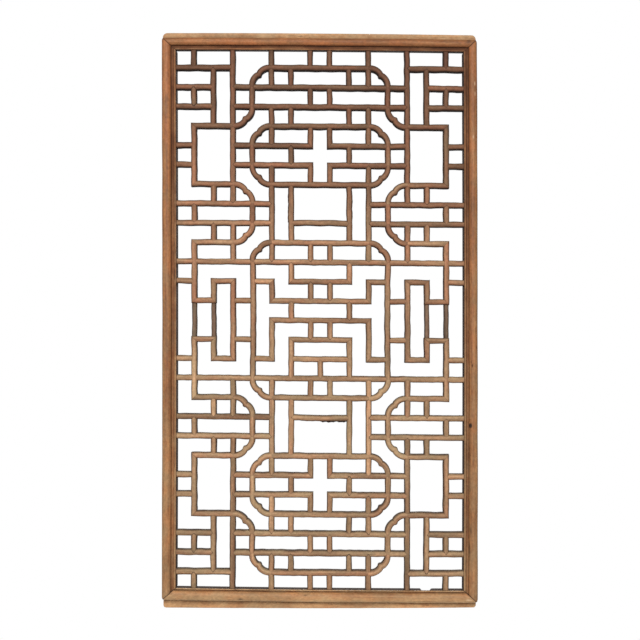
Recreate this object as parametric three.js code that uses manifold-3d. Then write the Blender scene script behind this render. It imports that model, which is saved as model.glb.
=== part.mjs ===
// A wooden lattice wall panel: four mitred, moulded frame members hold a fret of
// round-faced bars with cusped corner pieces. Millimetres, +Z up, front towards -Y.
// The origin is the middle of the flat back of the top rail.
import * as THREE from 'three';
import { mergeVertices } from 'three/addons/utils/BufferGeometryUtils.js';
import Module from 'manifold-3d';

const wasm = await Module();
wasm.setup();

// Lattice grid: the bars' centre lines lie on a square grid of columns and rows
const PITCH = 44;
const COLUMNS = 15;
const ROWS = 28;
const LATTICE_BACK = 4;

// Lattice bars: a flat-backed section whose front is rounded in facets
const BAR_WIDTH = 13.2;
const BAR_DEPTH = 22;
const BAR_ROUND = 5;
const ROUND_FACETS = 3;
const SLAT_WIDTH = 11.2;
const SLAT_DEPTH = 17.5;

// Cusped corner pieces: two round lobes that meet in a point on the diagonal
const LOBE_RADIUS = 28.2;
const LOBE_LEAD = 4.2;
const LOBE_STEPS = 3;

// Frame members: roll, cove and bead on the front, flat back and sides. The moulding's
// widths are a stile's.
const STILE_WIDTH = 31.8;
const RAIL_WIDTH = 27.8;
const FRAME_DEPTH = 32;
const SIDE_COVER = 3.6;
const TOP_COVER = 2.8;
const FOOT_COVER = 7.2;
const ROLL_WIDTH = 20.6;
const ROLL_HEIGHT = 8;
const ROLL_FACETS = 6;
const COVE_DROP = 9.5;
const COVE_WIDTH = 7;
const BEAD_DROP = 4;
const BEAD_ROUND = 2;
const BEAD_ROUND_LIMIT = 1 / 3;

// Tongues along the outer edges of the rails
const TOP_TONGUE_REACH = 15.5;
const FOOT_TONGUE_REACH = 18.8;
const TONGUE_THICKNESS = 14;
const TONGUE_INSET = 7;
const TONGUE_CORNER = 5;
const CORNER_FACETS = 3;

// Joints
const JOINT_GAP = 0.3;
const TENON_WIDTH = 6;
const TENON_THICKNESS = 9;
const TENON_LENGTH = 10;
const LAP_SHARE = 0.5;

// Worked-out sizes and the columns and rows that the pattern is hung on
const OPENING_WIDTH = COLUMNS * PITCH - 2 * SIDE_COVER;
const OPENING_HEIGHT = ROWS * PITCH - TOP_COVER - FOOT_COVER;
const PANEL_WIDTH = OPENING_WIDTH + 2 * STILE_WIDTH;
const PANEL_HEIGHT = OPENING_HEIGHT + 2 * RAIL_WIDTH;
const PANEL_TOP = RAIL_WIDTH / 2;
const OPENING_TOP = PANEL_TOP - RAIL_WIDTH;
const FIRST_ROW = OPENING_TOP + TOP_COVER;
const LAP_DEPTH = BAR_DEPTH * LAP_SHARE;
const MIDDLE = COLUMNS / 2;
const NEAR = MIDDLE - 0.5;
const FAR = MIDDLE - 1.5;

const WOOD = { frame: 0x9c6f4a, lattice: 0x8d6b50, slat: 0x7c6352 };

function woodMaterial(slot) {
  return new THREE.MeshStandardMaterial({ color: WOOD[slot], roughness: 0.72, metalness: 0 });
}

function toSolid(geometry) {
  const bare = geometry.clone();
  bare.deleteAttribute('normal');
  bare.deleteAttribute('uv');
  const merged = mergeVertices(bare);
  const mesh = new wasm.Mesh({
    numProp: 3,
    vertProperties: Float32Array.from(merged.attributes.position.array),
    triVerts: Uint32Array.from(merged.index.array),
  });
  return new wasm.Manifold(mesh);
}

function toMesh(solid, name, slot) {
  const { vertProperties, triVerts } = solid.getMesh();
  const geometry = new THREE.BufferGeometry();
  geometry.setAttribute('position', new THREE.BufferAttribute(vertProperties, 3));
  geometry.setIndex(new THREE.BufferAttribute(triVerts, 1));
  geometry.computeVertexNormals();
  const mesh = new THREE.Mesh(geometry, woodMaterial(slot));
  mesh.name = name;
  return mesh;
}

function join(solids) {
  return wasm.Manifold.union(solids);
}

function cut(solid, cutters) {
  return wasm.Manifold.difference([solid, ...cutters]);
}

// A section's x runs across the bar and its y runs from the back towards the front.
function roundedSection(width, depth, round, back = 0) {
  const half = width / 2;
  const section = new THREE.Shape();
  section.moveTo(-half, back);
  section.lineTo(half, back);
  for (let i = 0; i <= ROUND_FACETS; i += 1) {
    const angle = (Math.PI * i) / ROUND_FACETS;
    section.lineTo(half * Math.cos(angle), depth - round + round * Math.sin(angle));
  }
  section.closePath();
  return section;
}

function flatSection(width, back, front) {
  const half = width / 2;
  return new THREE.Shape([
    new THREE.Vector2(-half, back),
    new THREE.Vector2(half, back),
    new THREE.Vector2(half, front),
    new THREE.Vector2(-half, front),
  ]);
}

const BAR_SECTION = roundedSection(BAR_WIDTH, BAR_DEPTH, BAR_ROUND);
const SLAT_SECTION = roundedSection(SLAT_WIDTH, SLAT_DEPTH, BAR_ROUND);
const CLEAR_SECTION = roundedSection(
  BAR_WIDTH + 2 * JOINT_GAP,
  BAR_DEPTH + JOINT_GAP,
  BAR_ROUND,
  -JOINT_GAP,
);
const FRONT_LAP = roundedSection(
  BAR_WIDTH + 2 * JOINT_GAP,
  BAR_DEPTH + JOINT_GAP,
  BAR_ROUND,
  LAP_DEPTH - JOINT_GAP / 2,
);
const BACK_LAP = flatSection(
  BAR_WIDTH + 2 * JOINT_GAP,
  -JOINT_GAP,
  LAP_DEPTH + JOINT_GAP / 2,
);

// Points on the face of the panel are vectors of x and z.
function onPanel([column, row]) {
  return new THREE.Vector2((column - MIDDLE) * PITCH, FIRST_ROW - row * PITCH);
}

function onFrame([column, row]) {
  return column === 0 || column === COLUMNS || row === 0 || row === ROWS;
}

function leftNormal(direction) {
  return new THREE.Vector2(-direction.y, direction.x);
}

function directionBetween(from, to) {
  return to.clone().sub(from).normalize();
}

// A station is a place on the centre line and the vector that its section lies along,
// lengthened at a corner so that the bar keeps its width through the mitre.
function stationAt(point, arriving, leaving) {
  const across = leftNormal(arriving).add(leftNormal(leaving)).normalize();
  return { point, across: across.divideScalar(across.dot(leftNormal(leaving))) };
}

function stationsAlong(points) {
  return points.map((point, i) => {
    const before = points[i - 1] ?? point;
    const after = points[i + 1] ?? point;
    const leaving = after === point ? directionBetween(before, point) : directionBetween(point, after);
    const arriving = before === point ? leaving : directionBetween(before, point);
    return stationAt(point, arriving, leaving);
  });
}

// Extrudes a section through the stations: its length is one unit a step, and each
// vertex is then moved to the station that its step number names.
function sweep(section, stations, base = LATTICE_BACK) {
  const steps = stations.length - 1;
  const geometry = new THREE.ExtrudeGeometry(section, { depth: steps, steps, bevelEnabled: false });
  const position = geometry.attributes.position;
  for (let i = 0; i < position.count; i += 1) {
    const { point, across } = stations[Math.round(position.getZ(i))];
    const place = point.clone().addScaledVector(across, position.getX(i));
    position.setXYZ(i, place.x, -(base + position.getY(i)), place.y);
  }
  return toSolid(geometry);
}

// The centre line of a cusped piece: it leaves the point beside the corner along one
// grid line and arrives beside it along the other, by two lobes that meet half-way.
function cuspedLine([column, row], [toColumn, toRow]) {
  const start = (PITCH - LOBE_LEAD) / PITCH;
  const radius = LOBE_RADIUS / PITCH;
  const reach = Math.asin((start - radius) / (radius * Math.SQRT2));
  const turn = Math.PI / 4 + reach;
  const lobe = [[1, 0]];
  for (let i = 1; i <= LOBE_STEPS; i += 1) {
    const angle = (turn * i) / LOBE_STEPS;
    lobe.push([start - radius * Math.sin(angle), radius - radius * Math.cos(angle)]);
  }
  const mirrored = lobe.slice(0, -1).reverse().map(([along, out]) => [out, along]);
  const line = [...lobe, ...mirrored];
  return line.map(([along, out]) => [column + toColumn * along, row + toRow * out]);
}

// A run is the centre line of one bar, or of bars mitred end to end. Its outer ends
// stop on the centre of a crossing bar, at the frame, or in a mitre towards `from`
// or `to`, the next point of a run that belongs to another assembly.
function run(points, { from, to } = {}) {
  return { points, from, to, section: BAR_SECTION };
}

function bar(column, row, toColumn, toRow) {
  return run([[column, row], [toColumn, toRow]]);
}

function cusp(corner, towards) {
  return run(cuspedLine(corner, towards));
}

// The frame's inner face stops a bar that reaches the first or last grid line.
function stoppedAtFrame(point) {
  const halfOpening = OPENING_WIDTH / 2 - JOINT_GAP;
  const top = OPENING_TOP - JOINT_GAP;
  const bottom = OPENING_TOP - OPENING_HEIGHT + JOINT_GAP;
  return new THREE.Vector2(
    THREE.MathUtils.clamp(point.x, -halfOpening, halfOpening),
    THREE.MathUtils.clamp(point.y, bottom, top),
  );
}

function mitredEnd(station, neighbour, beyond) {
  const direction = directionBetween(neighbour, station.point);
  const mitred = stationAt(station.point, direction, directionBetween(station.point, beyond));
  const back = (JOINT_GAP / 2) * Math.SQRT2;
  return { point: station.point.clone().addScaledVector(direction, -back), across: mitred.across };
}

function runSolid({ points, from, to, section }) {
  const placed = points.map((point) => (onFrame(point) ? stoppedAtFrame(onPanel(point)) : onPanel(point)));
  const stations = stationsAlong(placed);
  const last = stations.length - 1;
  if (from) {
    const end = mitredEnd(stations[0], placed[1], onPanel(from));
    stations[0] = { point: end.point, across: end.across.negate() };
  }
  if (to) {
    stations[last] = mitredEnd(stations[last], placed[last - 1], onPanel(to));
  }
  return sweep(section, stations);
}

// Each bar that reaches the frame ends in a stub tenon.
function frameEnds({ points }) {
  const ends = [[points[0], points[1]], [points.at(-1), points.at(-2)]];
  return ends.filter(([end]) => onFrame(end)).map(([end, inner]) => {
    const shoulder = stoppedAtFrame(onPanel(end));
    return { shoulder, outward: directionBetween(onPanel(inner), shoulder) };
  });
}

function tenonSolid({ shoulder, outward }, gap) {
  const middle = BAR_DEPTH / 2;
  const half = TENON_THICKNESS / 2 + gap;
  const tip = TENON_LENGTH + gap;
  const root = shoulder.clone().addScaledVector(outward, -TENON_WIDTH);
  const end = shoulder.clone().addScaledVector(outward, tip);
  return sweep(
    flatSection(TENON_WIDTH + 2 * gap, middle - half, middle + half),
    stationsAlong([root, end]),
  );
}

// Straight stretches of a run, for finding where other bars meet it
function stretches({ points }) {
  return points.slice(1).map((end, i) => [points[i], end]);
}

function liesOn([column, row], [[c0, r0], [c1, r1]]) {
  const upright = c0 === c1 && column === c0 && row > Math.min(r0, r1) && row < Math.max(r0, r1);
  const level = r0 === r1 && row === r0 && column > Math.min(c0, c1) && column < Math.max(c0, c1);
  return upright || level;
}

// A short length of a bar's outline with its clearance, centred on a grid point
function cutterAt(point, stretch, section) {
  const direction = directionBetween(onPanel(stretch[0]), onPanel(stretch[1]));
  const ends = [-BAR_WIDTH, BAR_WIDTH].map((d) => onPanel(point).addScaledVector(direction, d));
  return sweep(section, stationsAlong(ends));
}

// A bar that ends on another assembly's bar has its end scribed over that bar's face.
function scribes(assembly, others) {
  const ends = assembly.runs.flatMap(({ points, from, to }) => [
    ...(from ? [] : [points[0]]),
    ...(to ? [] : [points.at(-1)]),
  ]);
  return ends.flatMap((end) => others
    .flatMap((other) => other.runs.flatMap(stretches))
    .filter((stretch) => liesOn(end, stretch))
    .map((stretch) => cutterAt(end, stretch, CLEAR_SECTION)));
}

// Where an upright and a level bar of two assemblies cross, the upright keeps the front.
function halfLaps(assembly, others) {
  const cutters = [];
  for (const own of assembly.runs.flatMap(stretches)) {
    for (const other of others.flatMap(({ runs }) => runs.flatMap(stretches))) {
      const ownUpright = own[0][0] === own[1][0];
      const [upright, level] = ownUpright ? [own, other] : [other, own];
      const crossing = [upright[0][0], level[0][1]];
      if (liesOn(crossing, upright) && liesOn(crossing, level) && level[0][0] !== level[1][0]) {
        cutters.push(cutterAt(crossing, other, ownUpright ? BACK_LAP : FRONT_LAP));
      }
    }
  }
  return cutters;
}

function flipped(assembly, name, { across, down }) {
  const move = ([column, row]) => [across ? COLUMNS - column : column, down ? ROWS - row : row];
  const runs = assembly.runs.map((own) => ({
    ...own,
    points: own.points.map(move),
    from: own.from && move(own.from),
    to: own.to && move(own.to),
  }));
  return { ...assembly, name, runs };
}

function inEachQuarter(name, runs) {
  const first = { name, runs, slot: 'lattice' };
  return ['upper_left', 'upper_right', 'lower_left', 'lower_right'].map((quarter, i) => (
    flipped(first, `${name}_${quarter}`, { across: i % 2 === 1, down: i > 1 })
  ));
}

function upperAndLower(name, runs) {
  const first = { name, runs, slot: 'lattice' };
  return ['upper', 'lower'].map((half, i) => flipped(first, `${name}_${half}`, { down: i === 1 }));
}

function leftAndRight(name, runs) {
  const first = { name, runs, slot: 'lattice' };
  return ['left', 'right'].map((side, i) => flipped(first, `${name}_${side}`, { across: i === 1 }));
}

function mirroredPair(own) {
  return [own, ...flipped({ runs: [own] }, '', { across: true }).runs];
}

// Corner blocks: the bars between the frame's corner and the long outer post
function cornerLattices() {
  return inEachQuarter('corner_lattice', [
    bar(0, 1, 3, 1),
    bar(0, 2, 2, 2),
    bar(0, 3, 2, 3),
    bar(1, 0, 1, 1),
    bar(1, 2, 1, 3),
    bar(2, 1, 2, 4),
  ]);
}

// Long posts from the rail, each with the two cusped pieces that spring from it
function outerPosts() {
  return inEachQuarter('outer_post', [bar(3, 0, 3, 8), cusp([4, 4], [-1, -1]), cusp([4, 7], [-1, 1])]);
}

function sideWindows() {
  return inEachQuarter('side_window', [
    run([[3, 4], [1, 4], [1, 7], [3, 7]]),
    bar(0, 5, 1, 5),
    bar(0, 6, 1, 6),
    bar(2, 7, 2, 8),
  ]);
}

function sideLadders() {
  return inEachQuarter('side_ladder', [
    bar(0, 8, 5, 8),
    bar(0, 9, 5, 9),
    bar(1, 8, 1, 9),
    bar(4, 8, 4, 9),
    bar(2, 9, 2, 10),
  ]);
}

function sideBrackets() {
  return inEachQuarter('side_bracket', [
    run([[3, 10], [1, 10], [1, 13]], { to: [2, 13] }),
    bar(0, 12, 1, 12),
    bar(3, 9, 3, 11),
    cusp([4, 10], [-1, -1]),
  ]);
}

function innerPosts() {
  return inEachQuarter('inner_post', [bar(5, 6, 5, 11), cusp([4, 10], [1, 1])]);
}

// The ends of the two oval medallions, with the brackets round their cross-shaped opening
function ovalEnds() {
  return inEachQuarter('oval_end', [
    run([[3, 5], [NEAR, 5], [NEAR, 4]]),
    run([[3, 6], [NEAR, 6], [NEAR, 7]]),
    bar(4, 5, 4, 6),
    bar(FAR, 5, FAR, 6),
    cusp([4, 4], [1, 1]),
    cusp([4, 7], [1, -1]),
  ]);
}

function cloudBars() {
  return upperAndLower('cloud_bar', [
    bar(5, 1, COLUMNS - 5, 1),
    ...mirroredPair(bar(5, 0, 5, 2)),
    ...mirroredPair(bar(NEAR, 0, NEAR, 1)),
    ...mirroredPair(bar(FAR, 1, FAR, 2)),
    ...mirroredPair(cusp([4, 1], [1, 1])),
  ]);
}

function doubleBands() {
  return upperAndLower('double_band', [
    bar(3, 2, COLUMNS - 3, 2),
    bar(3, 3, COLUMNS - 3, 3),
    ...mirroredPair(bar(4, 2, 4, 3)),
    ...mirroredPair(bar(NEAR, 2, NEAR, 3)),
  ]);
}

function ovalBars() {
  return upperAndLower('oval_bar', [
    bar(5, 4, COLUMNS - 5, 4),
    ...mirroredPair(bar(5, 3, 5, 5)),
    ...mirroredPair(bar(FAR, 3, FAR, 4)),
  ]);
}

function windowFrames() {
  return upperAndLower('window_frame', [
    bar(5, 7, COLUMNS - 5, 7),
    bar(FAR, 9, COLUMNS - FAR, 9),
    ...mirroredPair(bar(FAR, 7, FAR, 10)),
  ]);
}

function ringBars() {
  return upperAndLower('ring_bar', [
    bar(5, 10, COLUMNS - 5, 10),
    ...mirroredPair(bar(NEAR, 10, NEAR, 11)),
  ]);
}

function waistBars() {
  return upperAndLower('waist_bar', [bar(0, 11, COLUMNS, 11)]);
}

function ringSides() {
  return leftAndRight('ring_side', [bar(4, 11, 4, ROWS - 11)]);
}

// The tall narrow windows at mid-height, drawn as one meander with their spacers
function tallWindows() {
  const meander = [[1, 13], [2, 13], [2, 12], [3, 12], [3, ROWS - 12], [2, ROWS - 12], [2, ROWS - 13],
    [1, ROWS - 13]];
  return leftAndRight('tall_window', [
    run(meander, { from: [1, 12], to: [1, ROWS - 12] }),
    bar(3, 13, 4, 13),
    bar(3, ROWS - 13, 4, ROWS - 13),
  ]);
}

// Four thinner slats stand square-ended between the meander's level bars.
function recessedSlats() {
  const inset = (BAR_WIDTH / 2 + JOINT_GAP) / PITCH;
  return ['outer', 'inner'].flatMap((place, i) => (
    leftAndRight(`recessed_slat_${place}`, [
      { ...bar(1 + i, 13 + inset, 1 + i, ROWS - 13 - inset), section: SLAT_SECTION },
    ])
  )).map((assembly) => ({ ...assembly, slot: 'slat' }));
}

// The stepped fret in the middle, from the top down
function centreFret() {
  const tray = [
    run([[FAR, 11], [FAR, 12], [COLUMNS - FAR, 12], [COLUMNS - FAR, 11]]),
    ...mirroredPair(bar(NEAR, 12, NEAR, 13)),
  ];
  const upperStep = [
    run([[4, 12], [5, 12], [5, 13], [COLUMNS - 5, 13], [COLUMNS - 5, 12], [COLUMNS - 4, 12]]),
  ];
  const lowerStep = [
    run([[4, ROWS - 12], [5, ROWS - 12], [5, ROWS - 14], [COLUMNS - 5, ROWS - 14],
      [COLUMNS - 5, ROWS - 12], [COLUMNS - 4, ROWS - 12]]),
    ...mirroredPair(bar(FAR, 13, FAR, ROWS - 14)),
    ...mirroredPair(bar(NEAR, ROWS - 14, NEAR, ROWS - 13)),
  ];
  const arch = [
    run([[FAR, ROWS - 11], [FAR, ROWS - 13], [COLUMNS - FAR, ROWS - 13], [COLUMNS - FAR, ROWS - 11]]),
    bar(FAR, ROWS - 12, COLUMNS - FAR, ROWS - 12),
    bar(MIDDLE, ROWS - 12, MIDDLE, ROWS - 11),
  ];
  const fret = { tray, upper_step: upperStep, lower_step: lowerStep, arch };
  return Object.entries(fret).map(([name, runs]) => ({ name: `centre_${name}`, runs, slot: 'lattice' }));
}

const assemblies = [
  ...cornerLattices(),
  ...outerPosts(),
  ...sideWindows(),
  ...sideLadders(),
  ...sideBrackets(),
  ...innerPosts(),
  ...ovalEnds(),
  ...cloudBars(),
  ...doubleBands(),
  ...ovalBars(),
  ...windowFrames(),
  ...ringBars(),
  ...waistBars(),
  ...ringSides(),
  ...tallWindows(),
  ...recessedSlats(),
  ...centreFret(),
];

function assemblyMesh(assembly) {
  const others = assemblies.filter((other) => other !== assembly);
  const bars = assembly.runs.map(runSolid);
  const tenons = assembly.runs.flatMap(frameEnds).map((end) => tenonSolid(end, 0));
  const solid = cut(join([...bars, ...tenons]), [
    ...scribes(assembly, others),
    ...halfLaps(assembly, others),
  ]);
  return toMesh(solid, assembly.name, assembly.slot);
}

// A stile's section: x is the distance in from the outer edge, y is the height from
// the back. A rail has the same mouldings, narrower by the share of its width.
function frameSection(width) {
  const section = new THREE.Shape();
  const narrowing = width / STILE_WIDTH;
  const rollBase = FRAME_DEPTH - ROLL_HEIGHT;
  const coveFloor = FRAME_DEPTH - COVE_DROP;
  const rollWidth = ROLL_WIDTH * narrowing;
  const beadStart = (ROLL_WIDTH + COVE_WIDTH) * narrowing;
  const beadTop = FRAME_DEPTH - BEAD_DROP;
  const round = Math.min(BEAD_ROUND, (width - beadStart) * BEAD_ROUND_LIMIT);
  section.moveTo(0, 0);
  section.lineTo(width, 0);
  section.lineTo(width, beadTop - round);
  section.lineTo(width - round, beadTop);
  section.lineTo(beadStart + round, beadTop);
  section.lineTo(beadStart, beadTop - round);
  section.lineTo(beadStart, coveFloor);
  for (let i = 0; i <= ROLL_FACETS; i += 1) {
    const angle = (Math.PI * i) / ROLL_FACETS;
    const across = (rollWidth / 2) * (1 + Math.cos(angle));
    section.lineTo(across, rollBase + ROLL_HEIGHT * Math.sin(angle));
  }
  section.closePath();
  return section;
}

// A member lies with its outer edge along the line from start to end, both of them
// corners of the frame, and is mitred at both to a member of another width.
function frameMember(start, end, width, otherWidth) {
  const direction = directionBetween(start, end);
  const inward = leftNormal(direction);
  const lean = otherWidth / width;
  const gap = (JOINT_GAP / 2) * Math.hypot(1, lean);
  const ends = [[start, 1], [end, -1]];
  const stations = ends.map(([corner, side]) => ({
    point: corner.clone().addScaledVector(direction, side * gap),
    across: inward.clone().addScaledVector(direction, side * lean),
  }));
  return sweep(frameSection(width), stations, 0);
}

function rail(start, end) {
  return frameMember(start, end, RAIL_WIDTH, STILE_WIDTH);
}

function stile(start, end) {
  return frameMember(start, end, STILE_WIDTH, RAIL_WIDTH);
}

// A tongue is one with its rail: its free corners are rounded.
function tongue(edge, outward, reach) {
  const half = PANEL_WIDTH / 2 - TONGUE_INSET;
  const root = edge - (outward * TONGUE_INSET) / 2;
  const tip = edge + outward * reach;
  const outline = new THREE.Shape();
  outline.moveTo(-half, root);
  outline.lineTo(half, root);
  for (const side of [1, -1]) {
    for (let i = 0; i <= CORNER_FACETS; i += 1) {
      const share = side > 0 ? i : CORNER_FACETS - i;
      const angle = (Math.PI / 2) * (share / CORNER_FACETS);
      outline.lineTo(
        side * (half - TONGUE_CORNER + TONGUE_CORNER * Math.cos(angle)),
        tip - outward * TONGUE_CORNER * (1 - Math.sin(angle)),
      );
    }
  }
  outline.closePath();
  const geometry = new THREE.ExtrudeGeometry(outline, { depth: TONGUE_THICKNESS, bevelEnabled: false });
  geometry.rotateX(Math.PI / 2);
  return toSolid(geometry);
}

// Every mortise in the frame takes one of the lattice's tenons.
const mortises = assemblies
  .flatMap(({ runs }) => runs.flatMap(frameEnds))
  .map((end) => tenonSolid(end, JOINT_GAP));

function frameMeshes() {
  const half = PANEL_WIDTH / 2;
  const foot = PANEL_TOP - PANEL_HEIGHT;
  const [topLeft, topRight] = [-half, half].map((x) => new THREE.Vector2(x, PANEL_TOP));
  const [footLeft, footRight] = [-half, half].map((x) => new THREE.Vector2(x, foot));
  const members = {
    rail_top: join([rail(topRight, topLeft), tongue(PANEL_TOP, 1, TOP_TONGUE_REACH)]),
    rail_bottom: join([rail(footLeft, footRight), tongue(foot, -1, FOOT_TONGUE_REACH)]),
    stile_left: stile(topLeft, footLeft),
    stile_right: stile(footRight, topRight),
  };
  return Object.entries(members).map(([name, solid]) => toMesh(cut(solid, mortises), name, 'frame'));
}

const panel = new THREE.Group();
panel.add(...frameMeshes());
panel.add(...assemblies.map(assemblyMesh));

export default panel;
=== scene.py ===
"""Looks of the wooden lattice wall panel: every bar and frame member as worn, hand-planed
wood. Metres, +Z up, front towards -Y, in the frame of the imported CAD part.
"""

import math
from collections import namedtuple

import bpy
import numpy as np
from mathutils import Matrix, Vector


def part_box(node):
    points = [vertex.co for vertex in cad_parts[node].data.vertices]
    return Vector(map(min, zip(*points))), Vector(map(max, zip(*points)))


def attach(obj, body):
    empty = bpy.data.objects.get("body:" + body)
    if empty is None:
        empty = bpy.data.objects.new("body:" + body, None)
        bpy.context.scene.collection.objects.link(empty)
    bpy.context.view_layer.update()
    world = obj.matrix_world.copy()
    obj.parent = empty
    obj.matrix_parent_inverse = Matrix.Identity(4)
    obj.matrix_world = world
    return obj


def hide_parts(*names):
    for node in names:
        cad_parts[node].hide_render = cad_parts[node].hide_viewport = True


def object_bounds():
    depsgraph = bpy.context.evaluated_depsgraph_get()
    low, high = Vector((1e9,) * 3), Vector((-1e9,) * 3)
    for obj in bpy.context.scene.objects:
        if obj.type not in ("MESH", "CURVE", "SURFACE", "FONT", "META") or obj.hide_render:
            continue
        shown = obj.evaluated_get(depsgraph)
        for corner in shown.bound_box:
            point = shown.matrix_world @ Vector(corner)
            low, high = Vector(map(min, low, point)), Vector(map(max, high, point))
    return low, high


MM = 0.001
SEED = 7
GRAIN_SPREAD = 9
SHARP_ANGLE = math.radians(38)
WAVES = 3
WAVE_SPREAD = (0.5, 1.6)

# The lattice grid of columns and rows that the pattern is hung on
COLUMNS = 15
ROWS = 28
WAIST_ROW = 11
MIDDLE = COLUMNS / 2
NEAR = MIDDLE - 0.5
FAR = MIDDLE - 1.5

# Where the copies of an assembly stand, and whether each is flipped to stand there
HALVES = {"_upper": False, "_lower": True}
SIDES = {"_left": False, "_right": True}
WHOLE = {"": False}

# Form of a bar: how deep its round face is, and how finely it is drawn
BAR_ROUND = 5 * MM
ARRIS = 0.7 * MM
BAR_STEP = 4 * MM
LEAST_STEPS = 6
ROUND_POINTS = 11
SIDE_POINTS = 4
OUTLINE_LIFT = 1.05 * MM
LEVEL_BACK_SET = 0.3 * MM
TEE_BACK_SET = 0.8 * MM
TEE_TIP_DROP = 0.02 * MM
TEE_REACH = 8 * MM
END_GAP = 0.1 * MM
FRAME_SEAT = 1.5 * MM
NO_SEAM = 1.0
MITRE_CLOSE = 0.8 * MM
MITRE_WIDTHS = 1.5

# Wobbles in the hand work, each by how far it goes and how long its waves are
BAR_WANDER = (0.5 * MM, 70 * MM)
BAR_SWELL = (0.05, 38 * MM)
CUSP_SWELL = (0.05, 40 * MM)
CREST_WANDER = (0.15 * MM, 80 * MM)
MEMBER_WANDER = (0.35 * MM, 260 * MM)
DENTS = (0.25 * MM, 120 * MM)
TONGUE_EDGE_WEAR = (0.3 * MM, 150 * MM)

# How else hand work and age move a bar from its ruled line
END_WANDER = 0.35
END_EASE = 6 * MM
BAR_TILT = 0.6 * MM
BAR_TAPER = 0.07
BAR_LIFT = 0.12 * MM
BAR_BULGE = 1.7 * MM

# How a bar has aged, and the shade and light painted on it. Grime and painted shade run from 0, none,
# to 1, black, and hue from below 0, yellow and cool, to above 0, red and warm.
BAR_TONE = 0.11
BAR_HUE = 0.25
UPPER_FLANK_PAINTED_LIGHT = 0.42
UPWARD_PAINTED_LIGHT = 0.15
UPWARD_PAINTED_GREY = 0.6
BACK_GRIME = 0.4
SHOULDER_GRIME_AND_SHADE = 0.9
FACE_SHADE_FADE = 0.75
FACE_SHADE_OFFSET = 0.07
EDGE_STEEPNESS = 3.5
JOINT_GRIME_AND_SHADE = 0.45
JOINT_REACH = 11 * MM
CREASE_GRIME_AND_SHADE = 0.15

# Pairs of height and value: how the bars' looks run from the frame's foot, 0, to its top, 1
BAR_BRIGHTNESS = (
    (0.0, 0.93), (0.22, 1.04), (0.35, 1.06), (0.5, 0.96), (0.62, 0.95), (0.82, 0.53), (1.0, 0.33),
)
# Painted shade on the bars' edges and lower parts, deeper towards the top
BAR_EDGE_SHADE = ((0.0, 0.42), (0.5, 0.34), (0.8, 0.72), (1.0, 0.98))
BAR_REDNESS = ((0.0, -0.15), (0.35, -0.3), (0.5, 0.1), (0.8, 0.8), (1.0, 1.2))
# How much painted light thins the shade on upper flanks, strongest at the foot
BAR_PAINTED_TOP_LIGHT = ((0.0, 1.0), (0.5, 0.7), (1.0, 0.0))

# Cusped corner pieces: two round lobes that meet in a point on the diagonal
LOBE_RADIUS = 28.2 * MM
LOBE_LEAD = 4.2 * MM
LOBE_POINTS = 22
CUSP_POINT = 1.4 * MM
CUSP_NOTCH = 0.9 * MM
CUSP_REACH = 2.8 * MM
CUSP_CREASE = 0.4 * MM
CUSP_WIDTH = 1.6 * MM

# A ragged, unplaned edge: two ripples, kept to the back part of the bar
LUMP_EASE = 4 * MM
RIPPLE_FINE = 2.6 * MM
RIPPLE_COARSE = 7 * MM
RIPPLE_SHARE = 0.35
LUMP_TOP = 0.62
ON_LINE = 1 * MM

# Frame mouldings, across from the outer edge and up from the flat back: each member was
# moulded by hand, and the cove takes its share of what the roll leaves
STILE_ROLL = 20.6 * MM
TOP_ROLL = 17.6 * MM
FOOT_ROLL = 21.4 * MM
ROLL_HEIGHT = 8 * MM
COVE_DROP = 9.5 * MM
COVE_SHARE = 0.62
BEAD_DROP = 4 * MM
BEAD_ROUND = 1.7 * MM
FLANK_LEAN = 1.8 * MM
TOP_FLANK_LEAN = -1.2 * MM
FRAME_ARRIS = 1.2 * MM
FRAME_STEP = 3 * MM
ROLL_POINTS = 25
COVE_SAG = 1 * MM
SIDE_STEPS = 5
COVE_WALL_STEPS = 3
BEAD_STEPS = 4

# Grime, painted shade and redness round the frame's moulding
FRAME_FLANK_SHADE = 0.98
INNER_ARRIS_SHADE = 0.7
COVE_GRIME_AND_SHADE = 0.6
COVE_SHARES = ((0.15, 0.1), (0.4, 0.0), (0.65, 0.0), (0.88, 0.1))
BEAD_GRIME = 0.4
SIDE_SHADE = 0.25
ROLL_OUTER_SHADE = 0.2
ROLL_INNER_SHADE = 0.55
ROLL_SHADE_FADE = 1.6
FOOT_GRIME_AND_SHADE_SHARE = 0.3
# The redness across the profile also paints light and shade: lighter and yellower at the outer edge and the
# bead, darker and redder on the roll's inner side and in the cove
OUTER_REDNESS = -0.4
ROLL_REDNESS = 0.4
COVE_REDNESS = 0.5
STEP_REDNESS = 0.4
BEAD_REDNESS = -0.3
TOP_REDNESS = 0.5
FOOT_REDNESS = -0.8

# How hand work and age move the frame from its ruled lines
MEMBER_OUTWARD = 0.2 * MM
CORNER_WEAR = 9 * MM
CHIP_START_EASE = 3 * MM
CHIP_END_EASE = 5 * MM
CHIP_ROOT = 0.7
NOTCH_FROM = 229.9 * MM
NOTCH_TO = 254.1 * MM
NOTCH_BITE = 8 * MM
NOTCH_RISE = 20 * MM
SPOT_EDGE = 1.4
MITRE_FADE = 70 * MM
MITRE_GAP = 0.15 * MM

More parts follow.
